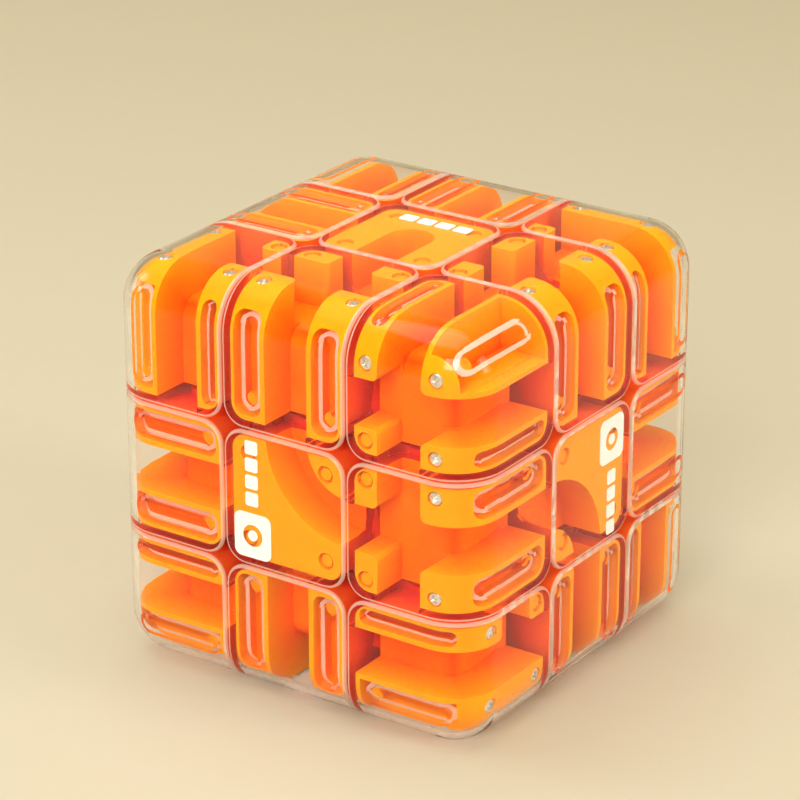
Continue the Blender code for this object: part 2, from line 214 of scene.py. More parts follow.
class MAZE_PG_colours(bpy.types.PropertyGroup):
    orange: colour("Moulded orange", "Colour of the bases", "#FF9A00")
    # Painted shade: the deeper, redder orange that stands for the shade down in the channels.
    orange_channel_shade: colour("Painted channel shade", "The same plastic down in the channels", "#FF7200")
    # Painted shade: the redder orange on the sides where tiles face each other.
    orange_side_shade: colour("Painted side shade", "The same plastic where tiles face each other", "#FF6A00")
    # Painted shade: the dark red that stands for the dim slots deep between the tiles.
    orange_gap_shade: colour("Painted gap shade", "The same plastic deep between the tiles", "#E81800")
    clear: colour("Clear plastic", "Tint of the covers", "#FFFDFD")
    # Painted highlight: the milky pink-white of the covers' ribs and rims, faintly in the side
    # walls too.
    clear_edge_painted_light: colour("Painted light on clear edges", "The covers' ribs, rims and side walls", "#FFE6D8")
    ink: colour("Printed white", "Pad-printed marks", "#FBF7F2")
    zinc: colour("Zinc plate", "Small screws", "#EFEDEA")
    nylon: colour("Nylon", "The middle piece", "#E4E1DA")
    floor: colour("Studio floor", "Sheet under the cube", "#D6D5C2")


# ---------------------------------------------------------------- mesh helpers

def new_object(name, bm):
    mesh = bpy.data.meshes.new(name)
    bm.to_mesh(mesh)
    bm.free()
    item = bpy.data.objects.new(name, mesh)
    bpy.context.scene.collection.objects.link(item)
    return item


def box_mesh(low, high):
    bm = bmesh.new()
    bmesh.ops.create_cube(bm, size=1.0)
    bmesh.ops.scale(bm, vec=high - low, verts=bm.verts)
    bmesh.ops.translate(bm, vec=(low + high) / 2, verts=bm.verts)
    return bm


def box_between(first, second):
    low = Vector([min(pair) for pair in zip(first, second)])
    high = Vector([max(pair) for pair in zip(first, second)])
    return box_mesh(low, high)


def rod_mesh(start, end, radius, steps):
    run = end - start
    turn = Vector((0, 0, 1)).rotation_difference(run).to_matrix().to_4x4()
    bm = bmesh.new()
    bmesh.ops.create_cone(
        bm, cap_ends=True, segments=steps, radius1=radius, radius2=radius, depth=run.length,
        matrix=Matrix.Translation((start + end) / 2) @ turn,
    )
    return bm


def prism_mesh(outline, start, run):
    """A closed outline of points around start, drawn out along run."""
    bm = bmesh.new()
    sheet = bm.faces.new([bm.verts.new(start + point) for point in outline])
    drawn = bmesh.ops.extrude_face_region(bm, geom=[sheet])["geom"]
    moved = [item for item in drawn if isinstance(item, bmesh.types.BMVert)]
    bmesh.ops.translate(bm, vec=run, verts=moved)
    bmesh.ops.recalc_face_normals(bm, faces=bm.faces)
    return bm


def rounded_outline(along, across, half_length, half_width, radius, steps):
    """Points round a rectangle with round corners, centred on nothing."""
    points = []
    for quarter in range(4):
        sign_a = 1 if quarter in (0, 3) else -1
        sign_b = 1 if quarter in (0, 1) else -1
        middle = along * sign_a * (half_length - radius) + across * sign_b * (half_width - radius)
        for step in range(steps + 1):
            angle = math.pi / 2 * (quarter + step / steps)
            points.append(
                middle + (along * math.cos(angle) + across * math.sin(angle)) * radius
            )
    return points


def turned_mesh(profile, steps):
    """A closed turned solid about Z from (radius, height) points, bottom to top."""
    bm = bmesh.new()
    chain = [bm.verts.new((radius, 0, height)) for radius, height in profile]
    edges = [bm.edges.new(pair) for pair in zip(chain, chain[1:])]
    bmesh.ops.spin(
        bm, geom=chain + edges, cent=(0, 0, 0), axis=(0, 0, 1), angle=math.tau, steps=steps,
        use_merge=True,
    )
    bmesh.ops.remove_doubles(bm, verts=bm.verts, dist=1e-6)
    bmesh.ops.recalc_face_normals(bm, faces=bm.faces)
    return bm


def carve(name, bm, cuts, bevel=0.0, bevel_steps=2, materials=()):
    """One finished object: bm with every (operation, mesh) applied, then its edges eased.
    Cuts keep their own faces' places in the list of materials."""
    item = new_object(name, bm)
    for material in materials:
        item.data.materials.append(material)
    tools = []
    for operation, other in cuts:
        tool = new_object(name + "_tool", other)
        tools.append(tool)
        step = item.modifiers.new(operation, "BOOLEAN")
        step.operation = operation
        step.solver = "EXACT"
        step.object = tool
    if bevel:
        ease = item.modifiers.new("eased edges", "BEVEL")
        ease.width = bevel
        ease.segments = bevel_steps
        ease.limit_method = "ANGLE"
        ease.angle_limit = math.radians(38)
        ease.use_clamp_overlap = True
        ease.miter_outer = "MITER_ARC"
    final = bpy.data.meshes.new_from_object(
        item.evaluated_get(bpy.context.evaluated_depsgraph_get())
    )
    item.modifiers.clear()
    item.data = final
    for tool in tools:
        bpy.data.objects.remove(tool, do_unlink=True)
    cleaned = bmesh.new()
    cleaned.from_mesh(final)
    bmesh.ops.remove_doubles(cleaned, verts=cleaned.verts, dist=SAME_PLACE)
    bmesh.ops.dissolve_degenerate(cleaned, edges=cleaned.edges, dist=SAME_PLACE)
    cleaned.to_mesh(final)
    cleaned.free()
    smooth(item)
    return item


def taken_mesh(item):
    """The mesh of a finished object, which goes away."""
    bm = bmesh.new()
    bm.from_mesh(item.data)
    bpy.data.objects.remove(item, do_unlink=True)
    return bm


def smooth(item):
    item.data.shade_smooth()
    item.data.set_sharp_from_angle(angle=math.radians(32))
    weigh = item.modifiers.new("weighted normals", "WEIGHTED_NORMAL")
    weigh.keep_sharp = True
    weigh.weight = 60


# ---------------------------------------------------------------- tile geometry

def span(index, half, inner, outer):
    if index == 0:
        return -half, half
    return (inner, outer) if index > 0 else (-outer, -inner)


def tile_box(tile, half, inner, outer):
    spans = [span(index, half, inner, outer) for index in tile]
    return Vector([low for low, _ in spans]), Vector([high for _, high in spans])


def tile_name(tile):
    words = [WORDS[axis][index > 0] for axis, index in enumerate(tile) if index]
    return "_".join([KINDS[len(words)], *reversed(words)])


def edge_kind(edge, tile, middle):
    """"cube" for the cube's long outer edges, "tile" for the corners of a tile's faces."""
    run = edge.verts[1].co - edge.verts[0].co
    along = max(range(3), key=lambda axis: abs(run[axis]))
    off = (edge.verts[0].co + edge.verts[1].co) / 2 - middle
    outward = [tile[axis] * off[axis] > 0 for axis in range(3) if axis != along]
    if all(outward):
        return "cube"
    if not any(outward) and tile[along]:
        return "tile"
    return ""


def rounded_tile(tile, inset, settings, rim=0.0, side_inset=None, places=(0, 0)):
    """One tile's block with round cube edges, round tile corners and, if asked, an eased rim.
    Places are the materials of the faces that look outward and of the others; a rim gets 1."""
    side_inset = inset if side_inset is None else side_inset
    side = COVER_SIDE - side_inset
    gap = PITCH - COVER_SIDE + side_inset
    bm = box_mesh(*tile_box(tile, side, gap, HALF - inset))
    middle = sum((vert.co for vert in bm.verts), Vector()) / 8
    mark = bm.edges.layers.int.new("kind")
    for edge in bm.edges:
        edge[mark] = {"cube": 1, "tile": 2}.get(edge_kind(edge, tile, middle), 0)
    long_edges = [edge for edge in bm.edges if edge[mark] == 1]
    tile_spots = [
        (edge.verts[0].co.copy(), edge.verts[1].co.copy())
        for edge in bm.edges if edge[mark] == 2
    ]
    if long_edges:
        bmesh.ops.bevel(
            bm, geom=long_edges, offset=settings.edge_radius - inset,
            segments=settings.edge_steps, profile=0.5, affect="EDGES", clamp_overlap=False,
        )
    corner_edges = [
        edge for edge in bm.edges
        if any(all(same_spot(vert.co, spot) for vert in edge.verts) for spot in tile_spots)
    ]
    bmesh.ops.bevel(
        bm, geom=corner_edges, offset=settings.tile_radius - inset,
        segments=settings.corner_steps, profile=0.5, affect="EDGES", clamp_overlap=False,
    )
    for face in bm.faces:
        outward = max(tile[axis] * face.normal[axis] for axis in range(3)) > 0.3
        face.material_index = places[0] if outward else places[1]
    if rim:
        sharp = [edge for edge in bm.edges if edge.calc_face_angle(0) > math.radians(60)]
        eased = bmesh.ops.bevel(
            bm, geom=sharp, offset=rim, segments=3, profile=0.5, affect="EDGES",
            clamp_overlap=False,
        )
        for face in eased["faces"]:
            face.material_index = 1
    bent = [face for face in bm.faces if not is_flat(face)]
    bmesh.ops.triangulate(bm, faces=bent)
    return bm


def same_spot(point, ends):
    return min((point - end).length for end in ends) < 1e-6


def is_flat(face):
    return all(
        abs((vert.co - face.verts[0].co).dot(face.normal)) < 1e-7 for vert in face.verts
    )


def crossing(tile, face, depth, line):
    """Where a face's channel lines cross, depth below the outer face."""
    outward = WAYS[face]
    flat = Vector([0 if outward[axis] else tile[axis] * line for axis in range(3)])
    return flat + outward * (HALF - depth)


def side_distance(tile, face, way, line):
    along = WAYS[way]
    return PITCH / 2 + (Vector(tile) * PITCH - crossing(tile, face, 0, line)).dot(along)


def over_edge(tile, way):
    """True where this side of a tile is an outer edge of the cube."""
    return Vector(tile).dot(WAYS[way]) > 0


def is_bend(tile, ways):
    return sum(map(abs, tile)) == 1 and len(ways) == 2 and WAYS[ways[0]] != -WAYS[ways[1]]


def is_straight(ways):
    return len(ways) == 2 and WAYS[ways[0]] == -WAYS[ways[1]]


def screw_face(tile):
    """The face that carries a tile's screws: the one with the most channel arms."""
    faces = list(MAZE[tile])
    return max(faces, key=lambda face: (len(MAZE[tile][face]), faces.index(face)))


def channel_stroke(tile, face, way, setback, c):
    outward, along = WAYS[face], WAYS[way]
    across = outward.cross(along)
    faces = list(MAZE[tile])
    reach = side_distance(tile, face, way, c.line)
    if way in faces and faces.index(way) < faces.index(face):
        reach += 0.5 * MM - c.floor
    else:
        reach += c.width / 4
    base = crossing(tile, face, c.floor, c.line)
    return box_between(
        base - along * setback - across * c.width / 2,
        base + along * reach + across * c.width / 2 + outward * PITCH / 2,
    )


def channel_bend(tile, face, first, second, c):
    outward = WAYS[face]
    corner = (WAYS[first] + WAYS[second]) * PITCH / 2
    pivot = crossing(tile, face, c.floor, c.line) + corner
    inner, outer = (PITCH - c.width) / 2, (PITCH + c.width) / 2
    start, end = -WAYS[second], -WAYS[first]
    axis = start.cross(end)
    overrun = math.radians(6)
    back = Matrix.Rotation(-overrun, 3, axis)
    bm = bmesh.new()
    corners = [
        pivot + back @ start * radius + outward * height
        for radius, height in ((inner, 0), (outer, 0), (outer, PITCH / 2), (inner, PITCH / 2))
    ]
    sheet = bm.faces.new([bm.verts.new(corner) for corner in corners])
    bmesh.ops.spin(
        bm, geom=[sheet, *sheet.edges, *sheet.verts], cent=pivot, axis=axis,
        angle=math.pi / 2 + 2 * overrun, steps=20, use_merge=False, use_duplicate=False,
    )
    bmesh.ops.remove_doubles(bm, verts=bm.verts, dist=1e-7)
    bmesh.ops.recalc_face_normals(bm, faces=bm.faces)
    return bm


def channel_cuts(tile, c):
    for face, ways in MAZE[tile].items():
        if is_bend(tile, ways):
            yield channel_bend(tile, face, *ways, c)
        elif len(ways) == 1:
            yield channel_stroke(tile, face, ways[0], -0.5 * MM, c)
            start = crossing(tile, face, c.floor, c.line)
            yield rod_mesh(start, start + WAYS[face] * PITCH / 2, c.width / 2, 40)
        else:
            for way in ways:
                yield channel_stroke(tile, face, way, c.width / 2, c)


def relief(corner, first, second, radius, run):
    """A cut that rounds the sharp edge at corner of a solid lying between two directions."""
    slack = 0.3 * MM
    outline = [-(first + second) * slack, first * radius - second * slack]
    centre = (first + second) * radius
    for step in range(9):
        angle = math.pi / 2 * step / 8
        outline.append(centre - (second * math.cos(angle) + first * math.sin(angle)) * radius)
    outline.append(second * radius - first * slack)
    return prism_mesh(outline, corner, run)


def reliefs(tile, c):
    """Rounds the bosses between crossing channels, and the floors that roll over an edge."""
    faces = list(MAZE[tile])
    for face, ways in MAZE[tile].items():
        outward = WAYS[face]
        for first, second in itertools.combinations(ways, 2):
            a, b = WAYS[first], WAYS[second]
            if a.dot(b) == 0 and len(ways) > 2:
                corner = crossing(tile, face, c.floor, c.line) + (a + b) * c.width / 2
                yield relief(corner, a, b, c.boss_radius, outward * PITCH / 2)
        for way in ways:
            if way in faces and face in MAZE[tile][way] and faces.index(way) < faces.index(face):
                along = WAYS[way]
                across = outward.cross(along)
                reach = side_distance(tile, face, way, c.line) - c.floor
                corner = crossing(tile, face, c.floor, c.line) + along * reach
                corner -= across * c.width / 2
                yield relief(corner, -outward, -along, c.roll_radius, across * c.width)


def port_cut(tile, face, way, wall, c):
    """The U-shaped opening in a cover's side."""
    outward, along = WAYS[face], WAYS[way]
    across = outward.cross(along)
    lip = c.port_depth - wall
    outline = [across * c.port_radius + outward * lip, -across * c.port_radius + outward * lip]
    for step in range(21):
        angle = math.pi * step / 20
        outline.append(
            (-across * math.cos(angle) - outward * math.sin(angle)) * c.port_radius
        )
    start = crossing(tile, face, c.port_depth, c.line)
    start += along * (side_distance(tile, face, way, c.line) - wall * 2)
    return prism_mesh(outline, start, along * wall * 3)


def ports(tile):
    for face, ways in MAZE[tile].items():
        for way in ways:
            if not over_edge(tile, way):
                yield face, way


class Pocket:
    """A pocket in a wall beside a straight channel, with the rib and peg that stand in it."""

    def __init__(self, middle, outward, along, across, half_length, half_width, depth, closed):
        self.middle = middle            # on the outer face's plane
        self.outward = outward
        self.along = along
        self.across = across
        self.half_length = half_length
        self.half_width = half_width
        self.depth = depth
        self.closed = closed            # False where the pocket is open to the cube's edge
        self.peg_drop = 0.0             # how much deeper the peg's top lies than the others'

    def cut(self, radius):
        if self.closed:
            outline = rounded_outline(
                self.along, self.across, self.half_length, self.half_width, radius, 5
            )
            start = self.middle - self.outward * self.depth
            return prism_mesh(outline, start, self.outward * PITCH / 2)
        reach = self.across * (self.half_width + PITCH / 2)
        low = self.middle - self.outward * self.depth - self.along * self.half_length
        return box_between(
            low - self.across * self.half_width,
            low + reach + self.along * self.half_length * 2 + self.outward * PITCH / 2,
        )

    def rib_size(self, d):
        """Half length, half width and wall of the clear rib; narrow pockets have a finer one."""
        scale = min(1, self.half_width / (3 * MM))
        half_width = min(self.half_width - d.rib_gap * scale, d.rib_half)
        spare = max(d.rib_gap * scale, (self.half_width - half_width) / 2)
        return self.half_length - spare, half_width, d.rib_wall * scale

    def ring(self, d):
        """The clear rib: a long ring, to be trimmed to the cover it hangs from."""
        half_length, half_width, wall = self.rib_size(d)
        outer = rounded_outline(
            self.along, self.across, half_length, half_width, half_width * 0.98, 9
        )
        inner = rounded_outline(
            self.along, self.across, half_length - wall, half_width - wall,
            (half_width - wall) * 0.98, 9,
        )
        bm = bmesh.new()
        levels = [self.middle - self.outward * self.depth, self.middle + self.outward * MM]
        loops = [
            [bm.verts.new(level + point) for point in loop]
            for level in levels for loop in (outer, inner)
        ]
        low_outer, low_inner, top_outer, top_inner = loops
        for first, second in (
            (low_outer, top_outer), (top_outer, top_inner),
            (top_inner, low_inner), (low_inner, low_outer),
        ):
            for step, _ in enumerate(first):
                bm.faces.new((first[step - 1], first[step], second[step], second[step - 1]))
        bmesh.ops.recalc_face_normals(bm, faces=bm.faces)
        for face in bm.faces:
            face.material_index = 2
        return bm

    def peg(self, d):
        """A round peg inside the ring, at the end nearer to the middle of the cube's side."""
        half_length, half_width, wall = self.rib_size(d)
        radius = half_width - wall - 0.15 * MM
        way = -1 if self.middle.dot(self.along) > 0 or self.half_width > d.rib_half * 1.5 else 1
        spot = self.middle + self.along * way * (half_length - half_width)
        bottom = spot - self.outward * (self.depth + MM)
        sunk = d.peg_depth + self.peg_drop
        return rod_mesh(bottom, spot - self.outward * sunk, radius, 24)


def pockets(tile, t, c, d, island):
    """Every pocket of a tile: both walls of each straight channel off the screw face."""
    bare = t.wall + t.fit
    for face, ways in MAZE[tile].items():
        if not is_straight(ways) or face == screw_face(tile) or sum(map(abs, tile)) == 1:
            continue
        outward, along = WAYS[face], WAYS[ways[0]]
        ends = []
        for way in ways:
            if over_edge(tile, way):
                ends.append(d.pocket_over - c.line)
            else:
                ends.append(side_distance(tile, face, way, c.line) - bare - d.pocket_end)
        centre = crossing(tile, face, 0, c.line) + along * (ends[0] - ends[1]) / 2
        for side in (1, -1):
            across = outward.cross(along) * side
            way = next(key for key, value in WAYS.items() if value == across)
            near = c.width / 2 + d.rim
            edge_side = over_edge(tile, way)
            if edge_side and tile == ISLAND_TILE:
                continue
            if edge_side:
                far = near + d.pocket_open
            else:
                far = side_distance(tile, face, way, c.line) - bare - d.rim * 0.8
            yield Pocket(
                centre + across * (near + far) / 2, outward, along, across,
                (ends[0] + ends[1]) / 2, (far - near) / 2, d.pocket_depth, not edge_side,
            )
    if tile == ISLAND_TILE:
        yield island_pocket(t, island)


def island_pocket(t, island):
    """The deep part of the wide pocket on the rounded edge between the top and right faces."""
    outward = (WAYS["+x"] + WAYS["+z"]).normalized()
    across = (WAYS["+x"] - WAYS["+z"]).normalized()
    turn_centre = HALF - t.edge_radius
    middle = Vector((turn_centre, 0, turn_centre)) + outward * t.edge_radius
    middle += across * island.shift
    front, back = HALF - island.front, PITCH / 2 + island.back
    middle.y = -(front + back) / 2
    pocket = Pocket(
        middle, outward, WAYS["+y"], across, (front - back) / 2, island.half_width,
        island.depth, True,
    )
    pocket.peg_drop = island.peg_drop
    return pocket


def island_hollow(c, d, island):
    """The rest of the wide pocket: walls square to the top and right faces, clear of its screw."""
    inner = c.line + c.width / 2 + d.rim
    clear = c.line + d.screw_edge + d.screw_radius + island.screw_room
    back = Vector((HALF, -PITCH / 2 - d.rim * 2.3, HALF))
    for x, z, front in (
        (inner, inner, island.screw_front), (inner, clear, island.front),
        (clear, inner, island.front),
    ):
        yield box_between(Vector((x, front - HALF, z)), back)


def screw_spots(tile, c, d):
    """Centre, outward way and kind of a tile's four fixings: small screws beside a cube edge,
    plain ringed posts elsewhere."""
    face = screw_face(tile)
    outward = WAYS[face]
    ways = [way for way in WAYS if not WAYS[way].dot(outward)]
    for first, second in itertools.combinations(ways, 2):
        if WAYS[first].dot(WAYS[second]):
            continue
        spot = crossing(tile, face, 0, c.line)
        for way in (first, second):
            if over_edge(tile, way):
                reach = d.screw_edge
            elif sum(map(abs, tile)) == 1:
                reach = d.post_reach
            else:
                reach = side_distance(tile, face, way, c.line) - d.screw_side
            spot += WAYS[way] * reach
        yield spot, outward, over_edge(tile, first) or over_edge(tile, second)


# ---------------------------------------------------------------- materials

def node(tree, kind, links=None, **settings):
    """Adds a node, sets its settings and inputs, and links the given sockets to it."""
    made = tree.nodes.new(kind)
    for key, value in settings.items():
        if hasattr(made, key):
            setattr(made, key, value)
        else:
            made.inputs[key.replace("_", " ")].default_value = value
    for key, socket in (links or {}).items():
        tree.links.new(socket, made.inputs[key])
    return made


def new_material(name):
    material = bpy.data.materials.new(name)
    material.use_nodes = True
    tree = material.node_tree
    shader = tree.nodes["Principled BSDF"]
    where = node(tree, "ShaderNodeTexCoord")
    return material, tree, shader, where.outputs["Object"]


def grain(tree, where, size, detail=2.0):
    """A noise whose lumps are of the given size."""
    noise = node(tree, "ShaderNodeTexNoise", {"Vector": where}, Scale=1 / size, Detail=detail)
    return noise.outputs["Fac"]


def uneven_gloss(tree, shader, lumps, low, high):
    gloss = node(tree, "ShaderNodeMapRange", {"Value": lumps}, To_Min=low, To_Max=high)
    tree.links.new(gloss.outputs["Result"], shader.inputs["Roughness"])


def mottled(name, tint, shade, size, roughness):
    """A dull material whose colour drifts between the tint and a little darker."""
    material, tree, shader, where = new_material(name)
    mix = node(tree, "ShaderNodeMix", {"Factor": grain(tree, where, size, 3.0)}, data_type="RGBA")
    mix.inputs["A"].default_value = (*[v * shade for v in tint], 1)
    mix.inputs["B"].default_value = (*tint, 1)
    tree.links.new(mix.outputs["Result"], shader.inputs["Base Color"])
    shader.inputs["Roughness"].default_value = roughness
    return material


def metal(name, tint, size, detail, low, high):
    material, tree, shader, where = new_material(name)
    shader.inputs["Base Color"].default_value = (*tint, 1)
    shader.inputs["Metallic"].default_value = 1.0
    uneven_gloss(tree, shader, grain(tree, where, size, detail), low, high)
    return material


def moulded_orange_abs_painted_depth_shade(colours):
    """Injection-moulded ABS that lets some light soak in, with a satin gloss and faint flow clouds;
    its colour is painted redder the deeper the surface lies, a painted shade for the channels and
    gaps."""
    return orange_plastic_painted_depth_shade(
        "orange ABS moulded with painted depth shade", colours.orange, colours.orange_channel_shade, colours.orange_gap_shade
    )


def orange_abs_painted_side_shade(colours):
    """The same moulding where two tiles face each other, painted red as a painted shade for the dim
    slots between the tiles.
    """
    return orange_plastic_painted_depth_shade(
        "orange ABS painted shade between tiles", colours.orange_side_shade, colours.orange_gap_shade, colours.orange_gap_shade
    )


def orange_plastic_painted_depth_shade(name, near, deep, far):
    """Painted shade by depth: near at the cube's outer faces, deep in the channels and far between
    the feet.
    """
    material, tree, shader, where = new_material(name)
    apart = node(tree, "ShaderNodeSeparateXYZ", {"Vector": node(
        tree, "ShaderNodeVectorMath", {0: where}, operation="ABSOLUTE"
    ).outputs["Vector"]})
    widest = node(
        tree, "ShaderNodeMath", {0: apart.outputs["X"], 1: apart.outputs["Y"]},
        operation="MAXIMUM",
    )
    widest = node(
        tree, "ShaderNodeMath", {0: widest.outputs[0], 1: apart.outputs["Z"]},
        operation="MAXIMUM",
    )
    drift = node(
        tree, "ShaderNodeMath", {0: grain(tree, where, 9 * MM), 2: widest.outputs[0]},
        operation="MULTIPLY_ADD",
    )
    drift.inputs[1].default_value = 1.5 * MM
    depth = node(
        tree, "ShaderNodeMapRange", {"Value": drift.outputs[0]},
        From_Min=HALF + 0.7 * MM, From_Max=HALF - 16.0 * MM,
    )
    # This ramp paints shade: the colour turns deeper and redder the further below the outer face a
    # surface lies.
    ramp = node(tree, "ShaderNodeValToRGB", {"Fac": depth.outputs["Result"]})
    stops = ramp.color_ramp.elements
    stops[0].position, stops[0].color = 0.1, (*near, 1)
    stops[1].position, stops[1].color = 0.8, (*far, 1)
    middle = stops.new(0.62)
    middle.color = (*deep, 1)
    tree.links.new(ramp.outputs["Color"], shader.inputs["Base Color"])
    satin = grain(tree, where, 0.5 * MM, 3.0)
    uneven_gloss(tree, shader, satin, 0.22, 0.36)
    bump = node(tree, "ShaderNodeBump", {"Height": satin}, Strength=0.06, Distance=0.05 * MM)
    tree.links.new(bump.outputs["Normal"], shader.inputs["Normal"])
    shader.inputs["Specular IOR Level"].default_value = 0.12
    shader.inputs["Subsurface Weight"].default_value = 0.3
    shader.inputs["Subsurface Radius"].default_value = (1.0, 0.35, 0.08)
    shader.inputs["Subsurface Scale"].default_value = 2.5 * MM
    return material


def moulded_clear_polystyrene(colours):
    """Injection-moulded clear polystyrene: see-through faces with bright reflections. It bends
    light less than the real plastic, so that the walls of a cover stay light."""
    material, tree, shader, where = new_material("clear polystyrene moulded")
    shader.inputs["Base Color"].default_value = (*colours.clear, 1)
    shader.inputs["Transmission Weight"].default_value = 1.0
    shader.inputs["IOR"].default_value = 1.2
    shader.inputs["Coat Weight"].default_value = 0.12
    shader.inputs["Coat IOR"].default_value = 1.5
    shader.inputs["Coat Roughness"].default_value = 0.02
    uneven_gloss(tree, shader, grain(tree, where, 9 * MM, 1.0), 0.0, 0.03)
    path = node(tree, "ShaderNodeLightPath")
    let_through = node(tree, "ShaderNodeBsdfTransparent")
    let_through.inputs["Color"].default_value = (0.97, 0.96, 0.96, 1)
    blend = node(tree, "ShaderNodeMixShader", {0: path.outputs["Is Shadow Ray"]})
    tree.links.new(shader.outputs[0], blend.inputs[1])
    tree.links.new(let_through.outputs[0], blend.inputs[2])
    tree.links.new(blend.outputs[0], tree.nodes["Material Output"].inputs["Surface"])
    return material


def polystyrene_edges_painted_highlight(colours):
    """The same plastic at ribs and rims, half covered in a milky pink-white: a painted highlight
    that stands for the light led through the wall and out at its edges."""
    return half_clear("clear polystyrene painted highlight edges", colours.clear_edge_painted_light, 0.46)


def polystyrene_side_walls(colours):
    """The same plastic in the walls between tiles: seen along its length it only hazes a little, a
    faint painted light in the edges' pink-white.
    """
    return half_clear("clear polystyrene side walls", colours.clear_edge_painted_light, 0.02)


def half_clear(name, tint, cover):
    material, tree, shader, where = new_material(name)
    shader.inputs["Base Color"].default_value = (*tint, 1)
    shader.inputs["Alpha"].default_value = cover
    uneven_gloss(tree, shader, grain(tree, where, 4 * MM, 1.0), 0.08, 0.2)
    return material


def printed_white_ink(colours):
    """Pad-printed ink: chalky white with a slightly uneven film."""
    return mottled("white ink pad printed", colours.ink, 0.93, 0.8 * MM, 0.55)


def zinc_plated_steel(colours):
    """Zinc-plated carbon steel: pale metal with fine turned streaks."""
    return metal("zinc plated steel turned", colours.zinc, 0.3 * MM, 2.0, 0.18, 0.42)


def moulded_nylon(colours):
    """Moulded nylon: milky off-white with a dull bloom."""
    return mottled("white nylon moulded", colours.nylon, 0.88, 3 * MM, 0.5)


def polished_bearing_steel(colours):
    """Ground and polished bearing steel: a near mirror with hairline polishing marks."""
    tint = [v * 0.95 for v in colours.zinc]
    return metal("bearing steel polished", tint, 0.6 * MM, 4.0, 0.04, 0.14)


def studio_paper(colours):
    """Matt background paper with a barely visible fibre."""
    return mottled("background paper", colours.floor, 0.98, 6 * MM, 0.7)


FINISHES = {
    "orange ABS moulded with painted depth shade": moulded_orange_abs_painted_depth_shade,
    "orange ABS painted shade between tiles": orange_abs_painted_side_shade,
    "clear polystyrene moulded": moulded_clear_polystyrene,
    "clear polystyrene painted highlight edges": polystyrene_edges_painted_highlight,
    "clear polystyrene side walls": polystyrene_side_walls,
    "white ink pad printed": printed_white_ink,
    "zinc plated steel turned": zinc_plated_steel,
    "white nylon moulded": moulded_nylon,
    "bearing steel polished": polished_bearing_steel,
    "background paper": studio_paper,
}


def finish_of(name, context):
    return bpy.data.materials.get(name) or FINISHES[name](context.scene.maze_colours)


def dress(item, material_name, context):
    item.data.materials.clear()
    item.data.materials.append(finish_of(material_name, context))


# ---------------------------------------------------------------- pieces

# The foot that a tile turns on. These are not properties, which hold fewer digits: the foot's ball
# runs so close to other edges that the last digit changes how they are eased.
TURN_RADIUS = 30.4 * MM
FOOT_CLEARANCE = 0.5 * MM
NECK_IN = 0.8 * MM
BORE_RADIUS = 1.9 * MM
HEAD_BORE_RADIUS = 4.2 * MM


